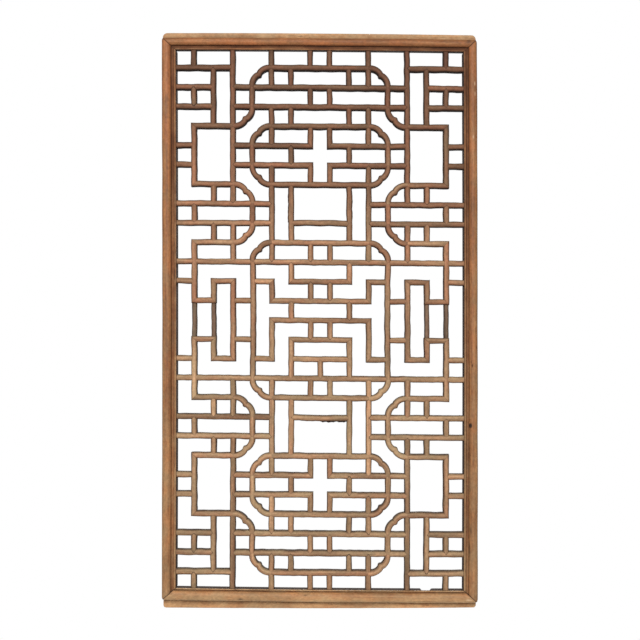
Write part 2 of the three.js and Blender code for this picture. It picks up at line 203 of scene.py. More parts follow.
# Tongues: each stops short of the frame's sides by its inset, has rounded corners and, where
# it is levelled, tapers so that its edge stays level when the panel is racked
TOP_TONGUE = {"inset": 1.5 * MM, "corner": 10 * MM, "levelled": False}
FOOT_TONGUE = {"inset": 3 * MM, "corner": 6 * MM, "levelled": True}
TONGUE_THICKNESS = 14 * MM
TONGUE_ROOT = 3.5 * MM
TONGUE_ROUND = 1.5 * MM
TONGUE_ROUND_POINTS = 4
TONGUE_CORNER_POINTS = 8
TONGUE_WEAR = 2.2 * MM
TONGUE_EDGE_SHARE = 0.9
TONGUE_FRONT_SHARE = 0.6
TONGUE_FRONT_GRIME = 0.05
# Grime and painted shade at the tongue's root, under the roll
TONGUE_ROOT_GRIME_AND_SHADE = 0.3
TONGUE_EDGE_GRIME = 0.5

# How far the panel has racked out of square
TOP_RACK = 2.6 * MM
FOOT_RACK = 3.4 * MM
BOW = 1.6 * MM
ARCH = 1.5 * MM
STILE_TAPER = 1.8 * MM
TOP_DROP = 2.3 * MM
TAPER_REACH = 28 * MM
FIT_MARGIN = 0.1 * MM

# Noises in the wood: scale along and across the grain, detail, roughness and distortion
NOISES = {
    "streak": ((7, 190, 190), 5, 0.6, 0.4),
    "fibre": ((55, 1500, 1500), 3, 0.6, 0.0),
    "blotch": ((24, 40, 40), 4, 0.6, 0.0),
    "patch": ((9, 16, 16), 2, 0.5, 0.0),
    "pore": ((120, 2600, 2600), 2, 0.5, 0.0),
    "mottle": ((150, 210, 210), 3, 0.6, 0.0),
    "crack": ((2.2, 75, 75), 3, 0.5, 0.3),
}
NOISE_MIDDLE = (0.3, 0.7)
FIBRE_RANGE = (0.35, 0.75)
PORE_RANGE = (0.55, 0.75)
CRACKED_RANGE = (0.48, 0.6)

# Colour and shade: each noise that shades the wood has its range and its darkest factor
HUE_BLOTCH = 0.5
WARM_PULL = 0.55
COOL_PULL = 0.6
SHADES = (("patch", 0.3, 0.7, 0.84), ("blotch", 0.25, 0.75, 0.86), ("mottle", 0.3, 0.7, 0.86))
LIGHTEST_SHADE = 1.14

# Dirt, painted shade, marks and relief in the wood's shader
GRIME_BLOTCH = 0.16
BLOTCHY_FROM = 0.4
LEAST_BLOTCH = 0.5
CRACK_WIDTH = 0.009
# Painted shade beside the seams, and the dark seam line
SEAM_SHADE_HALO = 0.36
SEAM_SHADE_REACH = 4 * MM
SEAM_LINE = 0.8
SEAM_LINE_RANGE = (0.2 * MM, 1.5 * MM)
MARK_FIBRES = (0.3, 0.6, 0.6, 1.3)
PALE_MARK = 0.75
DARK_MARK = 0.9
DULL_FROM = 0.8
GRIME_ROUGHNESS = 0.95
FIBRE_RELIEF = 0.5
STREAK_RELIEF = 0.6
PORE_DEPTH = 0.5
BLOTCH_RELIEF = 0.8
BUMP_STRENGTH = 0.55
BUMP_DEPTH = 0.6 * MM

# The photograph's camera, by the width that it sees at the bars' faces, and the studio's
# lights, by their place from the panel's middle, size and power
PHOTO_SPAN = 1.4497
CAMERA_DISTANCE = 2.75
CAMERA_RISE = -1.0 * MM
SENSOR = 36.0
LIGHTS = {
    "key": ((-0.3, -3.3, 1.3), (2.0, 1.6), 190),
    "back_fill": ((0.3, 4.0, 0.8), (2.0, 2.0), 110),
}
ROOM_LIGHT = 0.4
PALE_GREY = (0.86, 0.86, 0.86, 1)
WHITE = (1, 1, 1, 1)
FLOOR_ROUGHNESS = 0.9
FLOOR_DROP = 0.55
FLOOR_RADIUS = 1.6
FLOOR_CORNERS = 96


def cross(a, b):
    return a[0] * b[1] - a[1] * b[0]


def smooth_fade(distance, reach):
    share = np.clip(1 - np.asarray(distance) / reach, 0, 1)
    return share * share * (3 - 2 * share)


def stops(low, high, count):
    """Where each of `count` equal steps from low to high ends."""
    return np.linspace(low, high, count + 1)[1:]


def graded(pairs, share):
    """The value at a share of the frame's height, on straight lines between the pairs."""
    heights, values = zip(*pairs)
    return np.interp(share, heights, values)


class Sizes:
    """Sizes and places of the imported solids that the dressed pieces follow."""

    def __init__(self):
        slat_low, slat_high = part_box("recessed_slat_outer_left")
        ring_low, ring_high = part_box("ring_side_left")
        upper_low, upper_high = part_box("waist_bar_upper")
        lower_low, lower_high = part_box("waist_bar_lower")
        stile_low, stile_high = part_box("stile_left")
        rail_low, rail_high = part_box("rail_top")
        foot_low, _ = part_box("rail_bottom")
        upper = (upper_low.z + upper_high.z) / 2
        lower = (lower_low.z + lower_high.z) / 2
        self.pitch = (upper - lower) / (ROWS - 2 * WAIST_ROW)
        self.first_row = upper + WAIST_ROW * self.pitch
        self.back = -ring_high.y
        self.bar_width, self.bar_depth = ring_high.x - ring_low.x, ring_high.y - ring_low.y
        self.slat_width, self.slat_depth = slat_high.x - slat_low.x, slat_high.y - slat_low.y
        self.stile_width = stile_high.x - stile_low.x
        self.rail_width = stile_high.z - rail_low.z
        self.frame_depth = stile_high.y - stile_low.y
        self.half_width = -stile_low.x
        self.top, self.foot = stile_high.z, stile_low.z
        self.tongue_top, self.tongue_foot = rail_high.z, foot_low.z
        self.opening_half = self.half_width - self.stile_width
        self.opening_top = self.top - self.rail_width
        self.opening_foot = self.foot + self.rail_width
        self.centre = (self.top + self.foot) / 2

    def height_share(self, z):
        """0 at the frame's foot and 1 at its top."""
        return (z - self.foot) / (self.top - self.foot)

    def at(self, column, row):
        return np.array([(column - MIDDLE) * self.pitch, self.first_row - row * self.pitch])


# The pattern. A run is one bar, or bars mitred end to end. `mitre_from` and `mitre_to` name
# the next point of a run of another assembly, `outline` marks the bars that stand proud, and
# `bulge_to` is a point that a bent bar bows towards.
def run(*points, **facts):
    return {"points": list(points), **facts}


def bar(column, row, to_column, to_row, **facts):
    return run((column, row), (to_column, to_row), **facts)


def bars(*ends):
    return [bar(*four) for four in ends]


def cusp(corner, towards):
    return {"corner": corner, "towards": towards, "outline": True}


def flipped(own, across=False, down=False):
    def move(point):
        return (COLUMNS - point[0] if across else point[0], ROWS - point[1] if down else point[1])

    moved = dict(own)
    if "corner" in own:
        moved["corner"] = move(own["corner"])
        to_column, to_row = own["towards"]
        moved["towards"] = (-to_column if across else to_column, -to_row if down else to_row)
        return moved
    moved["points"] = [move(point) for point in own["points"]]
    for end in ("mitre_from", "mitre_to", "bulge_to"):
        if end in own:
            moved[end] = move(own[end])
    return moved


def placed(runs, halves, sides):
    """Every assembly once for each half and side, flipped into place and named after it."""
    return {
        name + half + side: [flipped(own, across, down) for own in listed]
        for name, listed in runs.items()
        for half, down in halves.items()
        for side, across in sides.items()
    }


def pair(own):
    return [own, flipped(own, across=True)]


def quarter_assemblies():
    runs = {
        "corner_lattice": bars(
            (0, 1, 3, 1), (0, 2, 2, 2), (0, 3, 2, 3), (1, 0, 1, 1), (1, 2, 1, 3), (2, 1, 2, 4),
        ),
        "outer_post": [bar(3, 0, 3, 8), cusp((4, 4), (-1, -1)), cusp((4, 7), (-1, 1))],
        "side_window": [
            run((3, 4), (1, 4), (1, 7), (3, 7), outline=True),
            *bars((0, 5, 1, 5), (0, 6, 1, 6), (2, 7, 2, 8)),
        ],
        "side_ladder": [
            *bars((0, 8, 5, 8), (0, 9, 5, 9), (1, 8, 1, 9)),
            bar(4, 8, 4, 9, outline=True),
            bar(2, 9, 2, 10),
        ],
        "side_bracket": [
            run((3, 10), (1, 10), (1, 13), mitre_to=(2, 13), outline=True),
            *bars((0, 12, 1, 12), (3, 9, 3, 11)),
            cusp((4, 10), (-1, -1)),
        ],
        "inner_post": [bar(5, 6, 5, 11), cusp((4, 10), (1, 1))],
        "oval_end": [
            run((3, 5), (NEAR, 5), (NEAR, 4)),
            run((3, 6), (NEAR, 6), (NEAR, 7)),
            bar(4, 5, 4, 6, outline=True),
            bar(FAR, 5, FAR, 6),
            cusp((4, 4), (1, 1)),
            cusp((4, 7), (1, -1)),
        ],
    }
    return placed(runs, HALVES, SIDES)


def half_assemblies():
    runs = {
        "cloud_bar": [
            bar(5, 1, COLUMNS - 5, 1, outline=True),
            *pair(bar(5, 0, 5, 2)),
            *pair(bar(NEAR, 0, NEAR, 1)),
            *pair(bar(FAR, 1, FAR, 2)),
            *pair(cusp((4, 1), (1, 1))),
        ],
        "double_band": [
            *bars((3, 2, COLUMNS - 3, 2), (3, 3, COLUMNS - 3, 3)),
            *pair(bar(4, 2, 4, 3, outline=True)),
            *pair(bar(NEAR, 2, NEAR, 3)),
        ],
        "oval_bar": [
            bar(5, 4, COLUMNS - 5, 4, outline=True),
            *pair(bar(5, 3, 5, 5)),
            *pair(bar(FAR, 3, FAR, 4)),
        ],
        "window_frame": [
            bar(5, 7, COLUMNS - 5, 7, outline=True),
            bar(FAR, 9, COLUMNS - FAR, 9, bulge_to=(MIDDLE, 7)),
            *pair(bar(FAR, 7, FAR, 10)),
        ],
        "ring_bar": [bar(5, 10, COLUMNS - 5, 10, outline=True), *pair(bar(NEAR, 10, NEAR, 11))],
        "waist_bar": [bar(0, WAIST_ROW, COLUMNS, WAIST_ROW)],
    }
    return placed(runs, HALVES, WHOLE)


def side_assemblies():
    meander = run(
        (1, 13), (2, 13), (2, 12), (3, 12), (3, 16), (2, 16), (2, 15), (1, 15),
        mitre_from=(1, 12), mitre_to=(1, 16), outline=True,
    )
    runs = {
        "ring_side": [bar(4, WAIST_ROW, 4, ROWS - WAIST_ROW, outline=True, bulge_to=(MIDDLE, 14))],
        "tall_window": [meander, *bars((3, 13, 4, 13), (3, 15, 4, 15))],
        "recessed_slat_outer": [bar(1, 13, 1, 15, slat=True)],
        "recessed_slat_inner": [bar(2, 13, 2, 15, slat=True)],
    }
    return placed(runs, WHOLE, SIDES)


def centre_assemblies():
    far_right = COLUMNS - FAR
    return {
        "centre_tray": [
            run((FAR, 11), (FAR, 12), (far_right, 12), (far_right, 11)),
            *pair(bar(NEAR, 12, NEAR, 13)),
        ],
        "centre_upper_step": [
            run((4, 12), (5, 12), (5, 13), (COLUMNS - 5, 13), (COLUMNS - 5, 12), (COLUMNS - 4, 12)),
        ],
        "centre_lower_step": [
            run((4, 16), (5, 16), (5, 14), (COLUMNS - 5, 14), (COLUMNS - 5, 16), (COLUMNS - 4, 16)),
            *pair(bar(FAR, 13, FAR, 14)),
            *pair(bar(NEAR, 14, NEAR, 15)),
        ],
        "centre_arch": [
            run((FAR, 17), (FAR, 15), (far_right, 15), (far_right, 17)),
            *bars((FAR, 16, far_right, 16), (MIDDLE, 16, MIDDLE, 17)),
        ],
    }


def all_assemblies():
    return {**quarter_assemblies(), **half_assemblies(), **side_assemblies(), **centre_assemblies()}


def cusp_ends(own):
    (column, row), (across, down) = own["corner"], own["towards"]
    return [(column + across, row), (column, row + down)]


class Junctions:
    """Where bars meet: the grid points that hold grime, and the ends that cusped pieces share."""

    def __init__(self, assemblies):
        runs = [own for listed in assemblies.values() for own in listed]
        self.shared = {end for own in runs if "corner" in own for end in cusp_ends(own)}
        ends = {point for own in runs if "points" in own for point in own["points"]}
        self.table = np.zeros((2 * COLUMNS + 1, ROWS + 1), bool)
        for column, row in ends | self.shared:
            self.table[round(2 * column), row] = True

    def nearness(self, sizes, x, z, reach):
        """1 on a junction's centre, falling to 0 at `reach` from it."""
        column = np.clip(np.rint(2 * (x / sizes.pitch + MIDDLE)), 0, 2 * COLUMNS).astype(int)
        row = np.clip(np.rint((sizes.first_row - z) / sizes.pitch), 0, ROWS).astype(int)
        near_x, near_z = sizes.at(column / 2, row)
        off = np.hypot(x - near_x, z - near_z)
        return np.where(self.table[column, row], smooth_fade(off, reach), 0.0)


def wander(s, rng, reach, length):
    """A slow, smooth wobble along s: waves about `length` long that never pass `reach`."""
    total = np.zeros_like(s)
    for _ in range(WAVES):
        wave = length * rng.uniform(*WAVE_SPREAD)
        total += np.sin(2 * math.pi * s / wave + rng.uniform(0, 2 * math.pi))
    return reach * total / WAVES


def put_in_scene(name, data):
    thing = bpy.data.objects.new(name, data)
    bpy.context.scene.collection.objects.link(thing)
    return thing


def grain_place(rng, *place):
    """Where a piece's points lie in the endless wood that it is cut from."""
    return [axis + shift for axis, shift in zip(place, rng.uniform(0, GRAIN_SPREAD, 3))]


class Shell:
    """Closed sweeps gathered into one mesh, with what the wood's shader reads at each point."""

    FIELDS = {"grain": 3, "patina": 3, "seam": 1, "mark": 1}

    def __init__(self):
        self.points = []
        self.faces = []
        self.fields = {name: [] for name in self.FIELDS}
        self.count = 0

    def add(self, rings, **fields):
        """rings is stations by section points by xyz, capped at the first and last. Each
        field has one column of values for each of its widths."""
        stations, across, _ = rings.shape
        index = self.count + np.arange(stations * across).reshape(stations, across)
        after = np.roll(index, -1, axis=1)
        quads = np.stack([index[:-1], index[1:], after[1:], after[:-1]], axis=-1).reshape(-1, 4)
        self.faces += quads.tolist()
        self.faces += [index[0].tolist(), index[-1][::-1].tolist()]
        self.points.append(rings.reshape(-1, 3))
        for name, columns in fields.items():
            columns = [np.broadcast_to(column, (stations, across)) for column in columns]
            self.fields[name].append(np.stack(columns, axis=-1).reshape(-1, len(columns)))
        self.count += stations * across

    def build(self, name, material):
        mesh = bpy.data.meshes.new(name)
        points = np.concatenate(self.points)
        mesh.from_pydata(points.tolist(), [], self.faces)
        for field, width in self.FIELDS.items():
            kind = "FLOAT_VECTOR" if width == 3 else "FLOAT"
            attribute = mesh.attributes.new(field, kind, "POINT")
            values = np.concatenate(self.fields[field]).astype(np.float32).ravel()
            attribute.data.foreach_set("vector" if width == 3 else "value", values)
        mesh.polygons.foreach_set("use_smooth", np.ones(len(mesh.polygons), bool))
        mesh.set_sharp_from_angle(angle=SHARP_ANGLE)
        mesh.validate()
        mesh.materials.append(material)
        return put_in_scene(name, mesh)


def bar_section(width, depth):
    """Across and height of a bar's outline, and how dark each point is: painted shade, with some grime, on
    the flanks and towards the round face's edges.
    """
    half = width / 2
    shoulder = depth - BAR_ROUND
    side = np.linspace(ARRIS, shoulder, SIDE_POINTS)
    angles = np.linspace(0, math.pi, ROUND_POINTS + 2)[1:-1]
    across = np.concatenate([
        np.full(SIDE_POINTS, half),
        half * np.cos(angles),
        np.full(SIDE_POINTS, -half),
        [-half + ARRIS, 0.0, half - ARRIS],
    ])
    height = np.concatenate([side, shoulder + BAR_ROUND * np.sin(angles), side[::-1], [0.0, 0.0, 0.0]])
    # Painted shade with some grime: flanks near black, the round face darker towards its edges
    flank = np.linspace(1.0, SHOULDER_GRIME_AND_SHADE, SIDE_POINTS)
    face = np.clip((1 - np.sin(angles)) ** FACE_SHADE_FADE - FACE_SHADE_OFFSET, 0, 1)
    grime = np.concatenate([flank, face, flank[::-1], [BACK_GRIME] * 3])
    return across, height, grime


BarEnd = namedtuple("BarEnd", "kind place shift seam")


class Lattice:
    def __init__(self, sizes, junctions, lumps):
        self.sizes = sizes
        self.junctions = junctions
        self.lumps = lumps
        self.rng = np.random.default_rng(SEED)

    def surface(self, shell, place, along, across, height, grime, seam, normal, crease=0.0):
        """Bars are darker and redder towards the panel's top, with painted shade on their edges that
        deepens towards the top, and grime and painted shade near joints and in creases. Upper flanks are
        painted lighter and cooler and lower flanks darker, as lit from above; lower down, painted light
        also thins the black painted shade on the upper flanks."""
        sizes, rng = self.sizes, self.rng
        grain = grain_place(rng, along, across, height)
        x, z = place[..., 0], place[..., 1]
        rings = np.stack([x, -(sizes.back + height), z], axis=-1)
        share = sizes.height_share(z)
        upward = np.clip(2 * normal[..., 1] * across / sizes.bar_width, -1, 1)
        tone = graded(BAR_BRIGHTNESS, share) * math.exp(rng.normal(0, BAR_TONE))
        # Painted light and shade: upper flanks lighter and cooler, lower flanks darker and redder
        tone = tone * (1 + UPWARD_PAINTED_LIGHT * upward)
        hue = graded(BAR_REDNESS, share) + rng.normal(0, BAR_HUE) - UPWARD_PAINTED_GREY * upward
        painted_top_light = UPPER_FLANK_PAINTED_LIGHT * np.clip(upward, 0, 1) * graded(BAR_PAINTED_TOP_LIGHT, share)
        edge = np.clip(EDGE_STEEPNESS * (1 - height / height.max()), 0, 1)
        # Grime and painted shade on the bars' lower parts where they meet
        joint = JOINT_GRIME_AND_SHADE * self.junctions.nearness(sizes, x, z, JOINT_REACH)
        # Grime and painted shade in the cusp's crease
        clean_and_lit = (1 - grime * (1 - painted_top_light)) * (1 - CREASE_GRIME_AND_SHADE * crease)
        # Painted shade on the edges, deeper towards the top
        clean_and_lit = clean_and_lit * (1 - joint * edge) * (1 - graded(BAR_EDGE_SHADE, share) * edge)
        shell.add(rings, grain=grain, patina=(tone, hue, 1 - clean_and_lit), seam=(seam,), mark=(0,))

    def end_kind(self, point, mitre):
        if mitre is not None:
            return "mitre"
        if point[0] in (0, COLUMNS) or point[1] in (0, ROWS):
            return "frame"
        return "butt" if point in self.junctions.shared else "tee"

    def end_place(self, point, kind, outward):
        sizes = self.sizes
        place = sizes.at(*point)
        if kind == "frame":
            low = np.array([-sizes.opening_half, sizes.opening_foot]) - FRAME_SEAT
            high = np.array([sizes.opening_half, sizes.opening_top]) + FRAME_SEAT
            return np.clip(place, low, high)
        return place if kind == "tee" else place - END_GAP * outward

    def bar_end(self, point, beyond, outward, across, normal):
        """One end of a bar: its kind and place, how far each point of the section runs past
        it to meet a mitred neighbour, and how far the seam there lies from it."""
        kind = self.end_kind(point, beyond)
        shift = np.zeros_like(across)
        if kind == "mitre":
            turn = self.sizes.at(*beyond) - self.sizes.at(*point)
            shift = -across * np.dot(normal, turn / np.linalg.norm(turn))
        seam = {
            "tee": -np.abs(across),
            "frame": np.full_like(across, -FRAME_SEAT),
            "mitre": shift + MITRE_CLOSE,
            "butt": np.full_like(across, NO_SEAM),
        }[kind]
        return BarEnd(kind, self.end_place(point, kind, outward), shift, seam)

    def side_drift(self, s, normal, first, facts):
        """How far a bar's middle line wanders, tilts and bulges from its ruled line."""
        along = s / s[-1]
        side = wander(s, self.rng, *BAR_WANDER)
        side = side + self.rng.uniform(-1, 1) * BAR_TILT * (along - 0.5)
        ease = np.clip(np.minimum(s, s[-1] - s) / END_EASE, 0, 1)
        side = side * (END_WANDER + (1 - END_WANDER) * ease)
        if "bulge_to" not in facts:
            return side
        aim = np.dot(normal, self.sizes.at(*facts["bulge_to"]) - first)
        return side + math.copysign(BAR_BULGE, aim) * np.sqrt(np.sin(math.pi * along).clip(0))

    def stick(self, shell, start, end, before, beyond, facts):
        """One straight bar from grid point to grid point, mitred to the points next to them."""
        sizes, rng = self.sizes, self.rng
        slat = facts.get("slat", False)
        width = sizes.slat_width if slat else sizes.bar_width
        depth = sizes.slat_depth if slat else sizes.bar_depth
        across, height, grime = bar_section(width, depth)
        ruled = sizes.at(*end) - sizes.at(*start)
        direction = ruled / np.linalg.norm(ruled)
        normal = np.array([-direction[1], direction[0]])
        first = self.bar_end(start, before, -direction, across, normal)
        last = self.bar_end(end, beyond, direction, across, normal)
        length = np.linalg.norm(last.place - first.place)
        s = np.linspace(0, length, max(LEAST_STEPS, round(length / BAR_STEP)) + 1)
        to_ends = (first, s), (last, length - s)

        lift = (OUTLINE_LIFT if facts.get("outline") else 0) + rng.normal(0, BAR_LIFT)
        side = self.side_drift(s, normal, first.place, facts)
        swell = 1 + rng.uniform(-1, 1) * BAR_TAPER * (s / length - 0.5)
        swell = swell + wander(s, rng, *BAR_SWELL)
        crest = wander(s, rng, *CREST_WANDER)
        spread = across * swell[:, None] + side[:, None]
        rise = height * (1 + lift / depth) + crest[:, None] * (height > 0)
        level = abs(direction[0]) > abs(direction[1])
        tee = np.zeros_like(s)
        for bar_end, distance in to_ends:
            if bar_end.kind == "tee":
                tee = np.maximum(tee, smooth_fade(distance, TEE_REACH))
        rise = rise - TEE_TIP_DROP * tee[:, None] * (height / depth)
        back_set = LEVEL_BACK_SET * level + TEE_BACK_SET * np.ceil(tee)
        rise = np.maximum(rise, back_set[:, None])

        near_first, near_last = (smooth_fade(d, MITRE_WIDTHS * width)[:, None] for _, d in to_ends)
        along = s[:, None] - first.shift * near_first + last.shift * near_last
        for lump in self.lumps:
            spread = spread + lump.on_stick(sizes, start, end, along, across, height / depth, normal)
        place = first.place + direction * along[..., None] + normal * spread[..., None]
        seam = np.minimum(along + first.seam, length - along + last.seam)
        self.surface(shell, place, along, spread, rise, grime, seam, normal)

    def lobes(self, own):
        """The centre line of a cusped piece, from one grid point round to the other."""
        pitch = self.sizes.pitch
        start = pitch - LOBE_LEAD
        turn = math.pi / 4 + math.asin((start - LOBE_RADIUS) / (LOBE_RADIUS * math.sqrt(2)))
        angles = np.linspace(0, turn, LOBE_POINTS)
        lobe = np.stack([start - LOBE_RADIUS * np.sin(angles), LOBE_RADIUS * (1 - np.cos(angles))], axis=-1)
        lobe = np.vstack([[pitch - END_GAP, 0.0], lobe])
        line = np.vstack([lobe, lobe[-2::-1, ::-1]])
        across, down = own["towards"]
        return self.sizes.at(*own["corner"]) + line * np.array([across, -down])

    def cusped(self, shell, own):
        """A cusped piece is carved from one block: a curved bar with a crease at its point."""
        sizes, rng = self.sizes, self.rng
        line = self.lobes(own)
        legs = np.diff(line, axis=0)
        lengths = np.linalg.norm(legs, axis=1)
        s = np.concatenate([[0], np.cumsum(lengths)])
        headings = legs / lengths[:, None]
        before = np.vstack([headings[:1], headings])
        after = np.vstack([headings, headings[-1:]])
        normals = np.stack([-(before + after)[:, 1], (before + after)[:, 0]], axis=-1)
        normals /= np.linalg.norm(normals, axis=1)[:, None]
        square = np.stack([-after[:, 1], after[:, 0]], axis=-1)
        normals /= np.sum(normals * square, axis=1)[:, None]

        across, height, grime = bar_section(sizes.bar_width, sizes.bar_depth)
        lift = OUTLINE_LIFT + rng.normal(0, BAR_LIFT)
        swell = 1 + wander(s, rng, *CUSP_SWELL)
        spread = across * swell[:, None]
        middle = (s - s[-1] / 2)[:, None]
        to_column, to_row = own["towards"]
        inner = math.copysign(1.0, np.dot(normals[len(s) // 2], (to_column, -to_row)))
        share = (1 + inner * across / np.abs(across).max()) / 2
        push = CUSP_NOTCH + (CUSP_POINT - CUSP_NOTCH) * share
        spread = spread + inner * np.exp(-((middle / CUSP_REACH) ** 2)) * push
        crease = np.exp(-((middle / CUSP_WIDTH) ** 2))
        rise = height * (1 + (lift - CUSP_CREASE * crease) / sizes.bar_depth)
        place = line[:, None, :] + normals[:, None, :] * spread[..., None]
        along = np.broadcast_to(s[:, None], spread.shape)
        seam = np.full(spread.shape, NO_SEAM)
        self.surface(shell, place, along, spread, rise, grime, seam, normals[:, None, :], crease)

    def run(self, shell, own):
        if "corner" in own:
            self.cusped(shell, own)
            return
        points = [own.get("mitre_from"), *own["points"], own.get("mitre_to")]
        for before, start, end, beyond in zip(points, points[1:], points[2:], points[3:]):
            self.stick(shell, start, end, before, beyond, own)


class Lump(namedtuple("Lump", "start end side reach seed")):
    """A ragged, unplaned stretch of a bar's edge, between two grid points."""

    def on_stick(self, sizes, start, end, along, across, share, normal):
        """How far the edge stands out at each point of a bar, or 0 where it isn't this bar."""
        first, last = sizes.at(*start), sizes.at(*end)
        length = np.linalg.norm(last - first)
        direction = (last - first) / length
        reaches = [sizes.at(*point) - first for point in (self.start, self.end)]
        off_line = max(abs(cross(direction, reach)) for reach in reaches)
        low, high = sorted(np.dot(direction, reach) for reach in reaches)
        if off_line > ON_LINE or high < ON_LINE or low > length - ON_LINE:
            return 0.0
        inside = np.clip((along - low) / LUMP_EASE, 0, 1) * np.clip((high - along) / LUMP_EASE, 0, 1)
        phases = np.random.default_rng(self.seed).uniform(0, 6, 2)
        ripple = np.sin(along / RIPPLE_FINE + phases[0]) * np.sin(along / RIPPLE_COARSE + phases[1])
        ragged = 1 - RIPPLE_SHARE + RIPPLE_SHARE * ripple
        sign = math.copysign(1.0, np.dot(normal, self.side))
        facing = (across * sign > 0) & (share < LUMP_TOP)
        return sign * self.reach * inside * ragged * facing


def rough_edges():
    """The unplaned and swollen edges that the photograph shows, at their grid points."""
    down, left, right = (0, -1), (-1, 0), (1, 0)
    return [
        Lump((7.5, 19), (9.0, 19), down, 4.2 * MM, 1),
        Lump((6.1, 19), (7.3, 19), down, 1.0 * MM, 2),
        Lump((6, 7.2), (6, 9.0), left, 1.5 * MM, 3),
        Lump((9, 7.3), (9, 8.9), right, 1.3 * MM, 4),
    ]


def roll_shade(angle):
    """Painted shade on the roll as it turns away from the front: deeper where it dips into the cove than at
    its outer edge.
    """
    side = ROLL_INNER_SHADE if angle < math.pi / 2 else ROLL_OUTER_SHADE
    return side * (1 - math.sin(angle)) ** ROLL_SHADE_FADE


def frame_section(sizes, width, roll_width, lean):
    """Round the moulding: across from the outer edge, height from the back, grime and painted shade,
    and redness, which also paints light and shade. The inner flank leans in by `lean` towards the back."""
    depth = sizes.frame_depth
    cove_width = COVE_SHARE * (width - roll_width)
    roll_base = depth - ROLL_HEIGHT
    cove_floor = depth - COVE_DROP
    bead_start = roll_width + cove_width
    bead_top = depth - BEAD_DROP
    bead_round = min(BEAD_ROUND, (width - bead_start) / 2)
    roll = roll_width / 2
    flank_top = bead_top - bead_round
    points = [(FRAME_ARRIS, 0.0, BACK_GRIME, OUTER_REDNESS), (0.0, FRAME_ARRIS, BACK_GRIME, OUTER_REDNESS)]
    # Painted shade on the outer side
    points += [(0.0, h, SIDE_SHADE, OUTER_REDNESS) for h in stops(0, roll_base, SIDE_STEPS)[:-1]]
    for a in np.linspace(math.pi, 0, ROLL_POINTS):
        rounded = roll_base + ROLL_HEIGHT * math.sin(a)
        points.append((roll + roll * math.cos(a), rounded, roll_shade(a), ROLL_REDNESS * math.cos(a)))
    # Grime and painted shade in the cove, deeper towards its edges
    for share, more_grime_and_shade in COVE_SHARES:
        sag = COVE_SAG * math.sin(math.pi * share)
        place = roll_width + share * cove_width
        points.append((place, cove_floor - sag, COVE_GRIME_AND_SHADE + more_grime_and_shade, COVE_REDNESS))
    for h in stops(cove_floor, flank_top, COVE_WALL_STEPS):
        points.append((bead_start, h, COVE_GRIME_AND_SHADE, STEP_REDNESS))
    for centre, low, high in ((bead_start + bead_round, 180, 90), (width - bead_round, 90, 0)):
        for a in np.radians(stops(low, high, BEAD_STEPS)):
            rounded = bead_top + bead_round * (math.sin(a) - 1)
            points.append((centre + bead_round * math.cos(a), rounded, BEAD_GRIME, BEAD_REDNESS))
    # Painted shade on the inner flank and its arris
    for share in stops(0, 1, SIDE_STEPS):
        h = flank_top + (FRAME_ARRIS - flank_top) * share
        points.append((width + lean * share, h, FRAME_FLANK_SHADE, 0.0))
    points.append((width + lean - FRAME_ARRIS, 0.0, INNER_ARRIS_SHADE, 0.0))
    points += [(share * width, 0.0, BACK_GRIME, 0.0) for share in (0.75, 0.5, 0.25)]
    across, height, grime, red = (np.array(column)[::-1] for column in zip(*points))
    return across, height, grime, red


def tongue_section():
    """Round a tongue from its back: share of its reach, what the rounding adds, and height."""
    turn = np.linspace(0, math.pi / 2, TONGUE_ROUND_POINTS)[1:]
    rounded = list(zip(-TONGUE_ROUND * (1 - np.sin(turn)), TONGUE_ROUND * (1 - np.cos(turn))))
    thick = TONGUE_THICKNESS
    profile = [(0.0, 0.0, 0.0), (0.5, 0.0, 0.0), (1.0, -TONGUE_ROUND, 0.0)]
    profile += [(1.0, inward, up) for inward, up in rounded]
    profile += [(1.0, 0.0, thick / 2)]
    profile += [(1.0, inward, thick - up) for inward, up in rounded[::-1]]
    profile += [(1.0, -TONGUE_ROUND, thick), (0.5, 0.0, thick), (0.0, 0.0, thick)]
    return (np.array(column) for column in zip(*profile))


class Chip(namedtuple("Chip", "start end bite rise")):
    """Wood broken from the back of a member's inner edge, between two places along it."""

    def depth(self, along, across, height, width):
        begun = np.clip((along - self.start) / CHIP_START_EASE, 0, 1)
        left = np.clip((self.end - along) / CHIP_END_EASE, 0, 1)
        inner = np.clip((across / width - CHIP_ROOT) / (1 - CHIP_ROOT), 0, 1)
        return self.bite * begun * left * inner * np.clip(1 - height / self.rise, 0, 1)


class Spot(namedtuple("Spot", "x z radius_x radius_z strength")):
    """A pale mark on the frame's face or, with a strength below 0, a dark one."""

    def on(self, x, z):
        off = np.hypot((x - self.x) / self.radius_x, (z - self.z) / self.radius_z)
        return self.strength * np.clip(SPOT_EDGE - off, 0, 1)


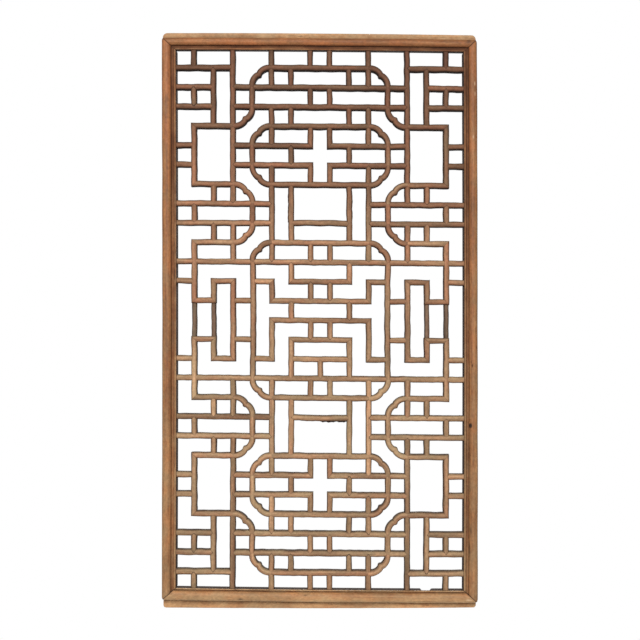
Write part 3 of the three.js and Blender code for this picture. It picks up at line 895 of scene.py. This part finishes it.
class Frame:
    def __init__(self, sizes):
        self.sizes = sizes
        self.rng = np.random.default_rng(SEED + 1)
        self.spots = [
            Spot(0.3405, -0.8620, 3.2 * MM, 5 * MM, -1.7),
            Spot(0.3515, -0.0890, 1.6 * MM, 4 * MM, 0.6),
            Spot(0.3520, -0.1120, 1.5 * MM, 5 * MM, 0.5),
            Spot(0.3475, -0.2095, 1.8 * MM, 4 * MM, 0.5),
            Spot(0.3370, -1.2560, 6.0 * MM, 1.8 * MM, 0.7),
            Spot(0.3390, -1.1400, 1.8 * MM, 16 * MM, -0.6),
            Spot(0.3410, -1.1000, 1.6 * MM, 12 * MM, -0.5),
            Spot(0.3370, 0.0080, 5.0 * MM, 5.5 * MM, -0.5),
            Spot(-0.1790, -1.2574, 7.0 * MM, 2.5 * MM, -0.7),
        ]

    def worn_corners(self, x, z):
        """The frame's four outer corners are rubbed round."""
        sizes = self.sizes
        corner_x = sizes.half_width - CORNER_WEAR
        upper, lower = sizes.top - CORNER_WEAR, sizes.foot + CORNER_WEAR
        off_x = np.maximum(np.abs(x) - corner_x, 0)
        off_z = np.maximum(z - upper, 0) + np.minimum(z - lower, 0)
        off = np.hypot(off_x, off_z)
        shrink = np.where(off > CORNER_WEAR, CORNER_WEAR / np.maximum(off, 1e-9), 1.0)
        near_corner = (off_x > 0) & (off_z != 0)
        new_x = np.where(near_corner, np.sign(x) * (corner_x + off_x * shrink), x)
        base_z = np.where(off_z > 0, upper, lower)
        new_z = np.where(near_corner, base_z + off_z * shrink, z)
        return new_x, new_z

    def surface(self, shell, rings, along, across, height, grime, seam, tone, hue):
        """The frame is redder towards its top and yellower towards its foot."""
        grain = grain_place(self.rng, along, across, height)
        share = self.sizes.height_share(rings[..., 2])
        hue = hue + FOOT_REDNESS + (TOP_REDNESS - FOOT_REDNESS) * share
        mark = sum(spot.on(rings[..., 0], rings[..., 2]) for spot in self.spots)
        shell.add(rings, grain=grain, patina=(tone, hue, grime), seam=(seam,), mark=(mark,))

    def member(self, shell, start, end, widths, patina, chips=()):
        """A moulded member whose outer edge runs from corner to corner, mitred at both."""
        width, other_width, roll_width, flank_lean = widths
        lean = other_width / width
        sizes, rng = self.sizes, self.rng
        start, end = np.array(start), np.array(end)
        length = np.linalg.norm(end - start)
        direction = (end - start) / length
        inward = np.array([-direction[1], direction[0]])
        across, height, grime, red = frame_section(sizes, width, roll_width, flank_lean)
        mitre = across * lean
        s = np.linspace(MITRE_GAP, length - MITRE_GAP, round(length / FRAME_STEP) + 1)
        fades = smooth_fade(s, MITRE_FADE)[:, None], smooth_fade(length - s, MITRE_FADE)[:, None]
        along = s[:, None] + mitre * fades[0] - mitre * fades[1]
        seam = np.minimum(along - mitre, length - along - mitre) / math.hypot(1, lean)

        bend = wander(s, rng, *MEMBER_WANDER)
        outer = np.clip(1 - across / width, 0, 1)
        spread = across + np.maximum(bend, -MEMBER_OUTWARD)[:, None] * outer
        for chip in chips:
            spread = spread - chip.depth(along, across, height, width)
        dents = np.minimum(wander(s, rng, *DENTS), 0)[:, None]
        rise = height + dents * (height / sizes.frame_depth) ** 3
        rise = np.clip(rise, 0, sizes.frame_depth)
        place = start + direction * along[..., None] + inward * spread[..., None]
        x, z = self.worn_corners(place[..., 0], place[..., 1])
        rings = np.stack([x, -rise, z], axis=-1)
        # Grime and painted shade on the moulding, all but the inner flank, fade from the top towards the
        # foot
        faded_grime_and_shade = FOOT_GRIME_AND_SHADE_SHARE + (1 - FOOT_GRIME_AND_SHADE_SHARE) * sizes.height_share(z)
        faded_grime_and_shade = grime * np.where(grime < FRAME_FLANK_SHADE, faded_grime_and_shade, 1.0)
        tone, hue = patina
        self.surface(shell, rings, along, spread, rise, faded_grime_and_shade, seam, tone, hue + red)

    def tongue(self, shell, edge, tip, patina, inset, corner, levelled):
        """The flat lip along a rail's outer edge, with its free corners rounded."""
        sizes, rng = self.sizes, self.rng
        half = sizes.half_width - inset
        near = half - corner
        turn = np.linspace(0, math.pi / 2, TONGUE_CORNER_POINTS)
        x = np.linspace(-half, half, round(2 * half / FRAME_STEP) + 1)
        x = np.unique(np.concatenate([x, near + corner * np.sin(turn)]))
        x = np.unique(np.concatenate([x, -x]))
        beyond = np.clip((np.abs(x) - near) / corner, 0, 1)
        worn = np.abs(wander(x, rng, *TONGUE_EDGE_WEAR))
        outward = math.copysign(1.0, tip - edge)
        root = edge - outward * TONGUE_ROOT
        reach = abs(tip - root) - corner * (1 - np.sqrt(1 - beyond**2)) - worn
        if levelled:
            reach = reach + outward * rack(x, tip, sizes)

        share, rounding, height = tongue_section()
        spread = reach[:, None] * share + rounding
        if outward > 0:
            x, spread = x[::-1], spread[::-1]
        z = root + outward * spread
        along, height = np.broadcast_to(x[:, None], z.shape), np.broadcast_to(height, z.shape)
        rings = np.stack([along, -height, z], axis=-1)
        grime = np.full(z.shape, TONGUE_EDGE_GRIME)
        front = height > TONGUE_FRONT_SHARE * TONGUE_THICKNESS
        grime[(share > TONGUE_EDGE_SHARE) & front] = TONGUE_FRONT_GRIME
        grime[height <= 0] = BACK_GRIME
        # Grime and painted shade at the root
        grime[(share < TONGUE_EDGE_SHARE) & (height > 0)] = TONGUE_ROOT_GRIME_AND_SHADE
        self.surface(shell, rings, along, spread, height, grime, np.full(z.shape, NO_SEAM), *patina)


class Nodes:
    """Short names for building a shader tree."""

    def __init__(self, owner):
        owner.use_nodes = True
        self.tree = owner.node_tree
        self.tree.nodes.clear()

    def add(self, kind, inputs=None, **settings):
        node = self.tree.nodes.new(kind)
        for name, value in settings.items():
            setattr(node, name, value)
        for key, value in (inputs or {}).items():
            if isinstance(value, bpy.types.NodeSocket):
                self.tree.links.new(value, node.inputs[key])
            else:
                node.inputs[key].default_value = value
        return node

    def math(self, operation, a, b=0.0, clamp=False):
        return self.add("ShaderNodeMath", {0: a, 1: b}, operation=operation, use_clamp=clamp).outputs[0]

    def mix(self, factor, a, b):
        return self.add("ShaderNodeMix", {0: factor, 6: a, 7: b}, data_type="RGBA").outputs[2]

    def stretched(self, vector, scale, detail, roughness, distortion):
        scaled = self.add("ShaderNodeVectorMath", {0: vector, 1: scale}, operation="MULTIPLY").outputs[0]
        facts = {"Detail": detail, "Roughness": roughness, "Distortion": distortion}
        noise = self.add("ShaderNodeTexNoise", {"Vector": scaled, "Scale": 1.0, **facts})
        return noise.outputs["Fac"]

    def span(self, value, low, high, out_low=0.0, out_high=1.0):
        """Leads a value from one range to another, smoothly and without passing its ends."""
        facts = {"From Min": low, "From Max": high, "To Min": out_low, "To Max": out_high}
        node = self.add("ShaderNodeMapRange", {"Value": value, **facts}, interpolation_type="SMOOTHSTEP")
        return node.outputs[0]

    def spread(self, noise, out_low=0.0, out_high=1.0):
        """The middle of a noise, where most of its values lie, spread over a range."""
        return self.span(noise, *NOISE_MIDDLE, out_low, out_high)


# One kind of wood: its colours, its grime colour that also paints shade, and how rough, glossy, fibrous,
# cracked and grimy it is
Look = namedtuple("Look", "dark light warm cool grime fleck roughness gloss fibres cracks cover")


def wood_colour(n, noise, look, tone, hue):
    """Streaks and fibres, warmer and cooler patches, and uneven shade over all of it."""
    colour = n.mix(n.spread(noise["streak"]), look.dark, look.light)
    colour = n.mix(n.span(noise["fibre"], *FIBRE_RANGE, 0.0, look.fibres), colour, look.dark)
    leaning = n.math("ADD", hue, n.spread(noise["blotch"], -HUE_BLOTCH, HUE_BLOTCH))
    colour = n.mix(n.math("MULTIPLY", leaning, WARM_PULL, clamp=True), colour, look.warm)
    colour = n.mix(n.math("MULTIPLY", leaning, -COOL_PULL, clamp=True), colour, look.cool)
    shade = tone
    for name, low, high, darkest in SHADES:
        shade = n.math("MULTIPLY", shade, n.span(noise[name], low, high, darkest, LIGHTEST_SHADE))
    return n.add("ShaderNodeVectorMath", {0: colour, "Scale": shade}, operation="SCALE").outputs[0]


def wood_dirt_and_shade(n, noise, look, grime, seam):
    """Grime and painted shade by place, blotchy where there is some, and in the cracks, with painted shade
    beside the seams and dark lines along them.
    """
    blotchy = n.span(grime, 0.0, BLOTCHY_FROM, LEAST_BLOTCH, 1.0)
    blotchy = n.math("MULTIPLY", n.spread(noise["blotch"], -GRIME_BLOTCH, GRIME_BLOTCH), blotchy)
    line = n.math("ABSOLUTE", n.math("SUBTRACT", noise["crack"], 0.5))
    crack = n.span(line, 0.0, CRACK_WIDTH, look.cracks, 0.0)
    crack = n.math("MULTIPLY", crack, n.span(noise["patch"], *CRACKED_RANGE))
    dirt_and_shade = n.math("MAXIMUM", n.math("ADD", grime, blotchy), crack)
    # Painted shade beside the seams, then the dark seam line
    dirt_and_shade = n.math("MAXIMUM", dirt_and_shade, n.span(seam, 0.0, SEAM_SHADE_REACH, SEAM_SHADE_HALO, 0.0))
    return n.math("MAXIMUM", dirt_and_shade, n.span(seam, *SEAM_LINE_RANGE, SEAM_LINE, 0.0), clamp=True)


def wood_relief(n, noise):
    relief = n.math("MULTIPLY", noise["fibre"], FIBRE_RELIEF)
    relief = n.math("ADD", relief, n.math("MULTIPLY", noise["streak"], STREAK_RELIEF))
    relief = n.math("ADD", relief, n.span(noise["pore"], *PORE_RANGE, 0.0, -PORE_DEPTH))
    relief = n.math("ADD", relief, n.math("MULTIPLY", noise["blotch"], BLOTCH_RELIEF))
    facts = {"Strength": BUMP_STRENGTH, "Distance": BUMP_DEPTH, "Height": relief}
    return n.add("ShaderNodeBump", facts).outputs[0]


def wood(name, look):
    material = bpy.data.materials.new(name)
    n = Nodes(material)
    read = {field: n.add("ShaderNodeAttribute", attribute_name=field) for field in Shell.FIELDS}
    grain, patina = read["grain"].outputs["Vector"], read["patina"].outputs["Vector"]
    seam, mark = read["seam"].outputs["Fac"], read["mark"].outputs["Fac"]
    tone, hue, grime = n.add("ShaderNodeSeparateXYZ", {0: patina}).outputs
    noise = {key: n.stretched(grain, *facts) for key, facts in NOISES.items()}

    # Grime and painted shade darken the wood towards the grime colour
    dirt_and_shade = wood_dirt_and_shade(n, noise, look, grime, seam)
    covered = n.span(dirt_and_shade, 0.0, 1.0, 0.0, look.cover)
    dirty_and_shaded = n.mix(covered, wood_colour(n, noise, look, tone, hue), look.grime)
    broken = n.math("MULTIPLY", mark, n.span(noise["fibre"], *MARK_FIBRES))
    pale = n.mix(n.math("MULTIPLY", broken, PALE_MARK, clamp=True), dirty_and_shaded, look.fleck)
    marked = n.mix(n.math("MULTIPLY", broken, -DARK_MARK, clamp=True), pale, look.grime)
    surface = {
        "Base Color": marked,
        "Roughness": n.span(dirt_and_shade, 0.0, DULL_FROM, look.roughness, GRIME_ROUGHNESS),
        "Normal": wood_relief(n, noise),
        "Specular IOR Level": look.gloss,
    }
    shader = n.add("ShaderNodeBsdfPrincipled", surface)
    n.add("ShaderNodeOutputMaterial", {"Surface": shader.outputs[0]})
    return material


LOOKS = {
    "frame_wood": Look(
        dark=(0.16, 0.062, 0.024, 1),
        light=(0.33, 0.15, 0.056, 1),
        warm=(0.272, 0.084, 0.026, 1),
        cool=(0.31, 0.190, 0.092, 1),
        grime=(0.022, 0.012, 0.008, 1),
        fleck=(0.5, 0.36, 0.24, 1),
        roughness=0.55, gloss=0.2, fibres=0.6, cracks=0.75, cover=0.96,
    ),
    "lattice_wood": Look(
        dark=(0.168, 0.086, 0.046, 1),
        light=(0.32, 0.188, 0.101, 1),
        warm=(0.272, 0.108, 0.056, 1),
        cool=(0.245, 0.174, 0.094, 1),
        grime=(0.014, 0.009, 0.007, 1),
        fleck=(0.45, 0.33, 0.22, 1),
        roughness=0.6, gloss=0.12, fibres=0.5, cracks=0.45, cover=0.91,
    ),
    "slat_wood": Look(
        dark=(0.11, 0.068, 0.045, 1),
        light=(0.19, 0.125, 0.08, 1),
        warm=(0.16, 0.085, 0.058, 1),
        cool=(0.14, 0.115, 0.072, 1),
        grime=(0.016, 0.010, 0.008, 1),
        fleck=(0.4, 0.3, 0.2, 1),
        roughness=0.75, gloss=0.08, fibres=0.5, cracks=0.3, cover=0.9,
    ),
}


def rack(x, z, sizes):
    """How far a level line has sunk at x: more at the foot of the panel than at its top."""
    return np.interp(z, [sizes.foot, sizes.top], [FOOT_RACK, TOP_RACK]) * x / sizes.half_width


def racked(points, sizes):
    """The panel has racked: level lines fall to the right and arch outward at its ends,
    uprights bow, the right stile is narrower above its foot, and the top rail lies low."""
    x, z = points[:, 0], points[:, 2]
    share = 2 * sizes.height_share(z) - 1
    middle = np.clip(1 - (x / sizes.half_width) ** 2, 0, 1)
    edge = np.clip((x - sizes.half_width) / TAPER_REACH + 1, 0, 1)
    moved = points.copy()
    above = np.clip((z - sizes.opening_top) / TAPER_REACH + 1, 0, 1)
    moved[:, 2] = z - rack(x, z, sizes) + ARCH * middle * share**3 - TOP_DROP * above
    moved[:, 0] = x + BOW * (0.5 - share**2) - STILE_TAPER * edge * np.clip(1 + share, 0, 1)
    return moved


def settle(shells, low, high, sizes):
    """Racks every piece; the outer faces are worn flat where they would leave the CAD box."""
    low, high = np.array(low) + FIT_MARGIN, np.array(high) - FIT_MARGIN
    low[1], high[1] = -np.inf, np.inf
    for shell in shells:
        shell.points = [np.clip(racked(np.concatenate(shell.points), sizes), low, high)]


def dress(sizes, low, high):
    assemblies = all_assemblies()
    lattice = Lattice(sizes, Junctions(assemblies), rough_edges())
    frame = Frame(sizes)
    shells = {}
    for name, runs in assemblies.items():
        shell = Shell()
        for own in runs:
            lattice.run(shell, own)
        slot = "slat_wood" if any(own.get("slat") for own in runs) else "lattice_wood"
        shells[name] = (shell, slot)

    half, top, foot = sizes.half_width, sizes.top, sizes.foot
    top_rail = (sizes.rail_width, sizes.stile_width, TOP_ROLL, TOP_FLANK_LEAN)
    foot_rail = (sizes.rail_width, sizes.stile_width, FOOT_ROLL, 0.0)
    stile = (sizes.stile_width, sizes.rail_width, STILE_ROLL, FLANK_LEAN)
    notch = Chip(half + NOTCH_FROM, half + NOTCH_TO, NOTCH_BITE, NOTCH_RISE)
    # Each member's outer edge from corner to corner, its widths, tone and hue, and chips
    members = {
        "rail_top": ((half, top), (-half, top), top_rail, (0.84, 0.0), ()),
        "rail_bottom": ((-half, foot), (half, foot), foot_rail, (1.09, -0.2), (notch,)),
        "stile_left": ((-half, top), (-half, foot), stile, (0.86, 0.0), ()),
        "stile_right": ((half, foot), (half, top), stile, (0.8, 0.0), ()),
    }
    for name, (start, end, widths, patina, chips) in members.items():
        shell = Shell()
        frame.member(shell, start, end, widths, patina, chips)
        shells[name] = (shell, "frame_wood")
    top_tip, foot_tip = sizes.tongue_top - TOP_RACK, sizes.tongue_foot + TONGUE_WEAR
    frame.tongue(shells["rail_top"][0], top, top_tip, (1.02, -1.5), **TOP_TONGUE)
    # The foot tongue's tone is raised: painted light against the shade that the roll casts on it
    frame.tongue(shells["rail_bottom"][0], foot, foot_tip, (1.28, -0.1), **FOOT_TONGUE)

    settle([shell for shell, _ in shells.values()], low, high, sizes)
    made = {slot: wood(slot, look) for slot, look in LOOKS.items()}
    for name, (shell, slot) in shells.items():
        piece = shell.build(f"{name}_wood", made[slot])
        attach(piece, "root")
        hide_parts(name)


def floor(sizes):
    mesh = bpy.data.meshes.new("floor")
    z = sizes.tongue_foot - FLOOR_DROP
    angles = np.linspace(0, 2 * math.pi, FLOOR_CORNERS, endpoint=False)
    rim = [(FLOOR_RADIUS * math.cos(a), FLOOR_RADIUS * math.sin(a), z) for a in angles]
    mesh.from_pydata(rim, [], [range(FLOOR_CORNERS)])
    material = bpy.data.materials.new("pale_floor")
    n = Nodes(material)
    shader = n.add("ShaderNodeBsdfPrincipled", {"Base Color": PALE_GREY, "Roughness": FLOOR_ROUGHNESS})
    n.add("ShaderNodeOutputMaterial", {"Surface": shader.outputs[0]})
    mesh.materials.append(material)
    sheet = put_in_scene("floor", mesh)


def studio():
    """A white room: the camera sees it white, and it lights the panel more weakly."""
    world = bpy.data.worlds.new("studio")
    n = Nodes(world)
    room = n.add("ShaderNodeBackground", {"Color": WHITE, "Strength": ROOM_LIGHT})
    sheet = n.add("ShaderNodeBackground", {"Color": WHITE, "Strength": 1.0})
    seen = n.add("ShaderNodeLightPath").outputs["Is Camera Ray"]
    both = n.add("ShaderNodeMixShader", {0: seen, 1: room.outputs[0], 2: sheet.outputs[0]})
    n.add("ShaderNodeOutputWorld", {"Surface": both.outputs[0]})
    bpy.context.scene.world = world


def lights(sizes):
    centre = Vector((0, 0, sizes.centre))
    for name, (offset, size, power) in LIGHTS.items():
        light = bpy.data.lights.new(name, "AREA")
        light.shape = "RECTANGLE"
        light.size, light.size_y = size
        light.energy = power
        place = centre + Vector(offset)
        holder = put_in_scene(name, light)
        holder.location = place
        holder.rotation_euler = (centre - place).to_track_quat("-Z", "Y").to_euler()
    studio()
    bpy.context.scene.view_settings.view_transform = "Standard"


def camera(sizes):
    data = bpy.data.cameras.new("camera")
    data.sensor_width = SENSOR
    data.lens = SENSOR * CAMERA_DISTANCE / PHOTO_SPAN
    holder = put_in_scene("camera", data)
    crown = sizes.back + sizes.bar_depth
    holder.location = (0, -(CAMERA_DISTANCE + crown), sizes.centre + CAMERA_RISE)
    holder.rotation_euler = (math.pi / 2, 0, 0)
    bpy.context.scene.camera = holder


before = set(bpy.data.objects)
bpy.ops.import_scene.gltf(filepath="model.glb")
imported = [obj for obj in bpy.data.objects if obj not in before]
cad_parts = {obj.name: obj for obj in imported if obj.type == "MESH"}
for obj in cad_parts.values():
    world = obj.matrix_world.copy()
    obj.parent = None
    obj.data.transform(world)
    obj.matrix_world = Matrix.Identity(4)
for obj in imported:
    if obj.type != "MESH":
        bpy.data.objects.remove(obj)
cad_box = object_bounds()
sizes = Sizes()
dress(sizes, *cad_box)
floor(sizes)
lights(sizes)
camera(sizes)
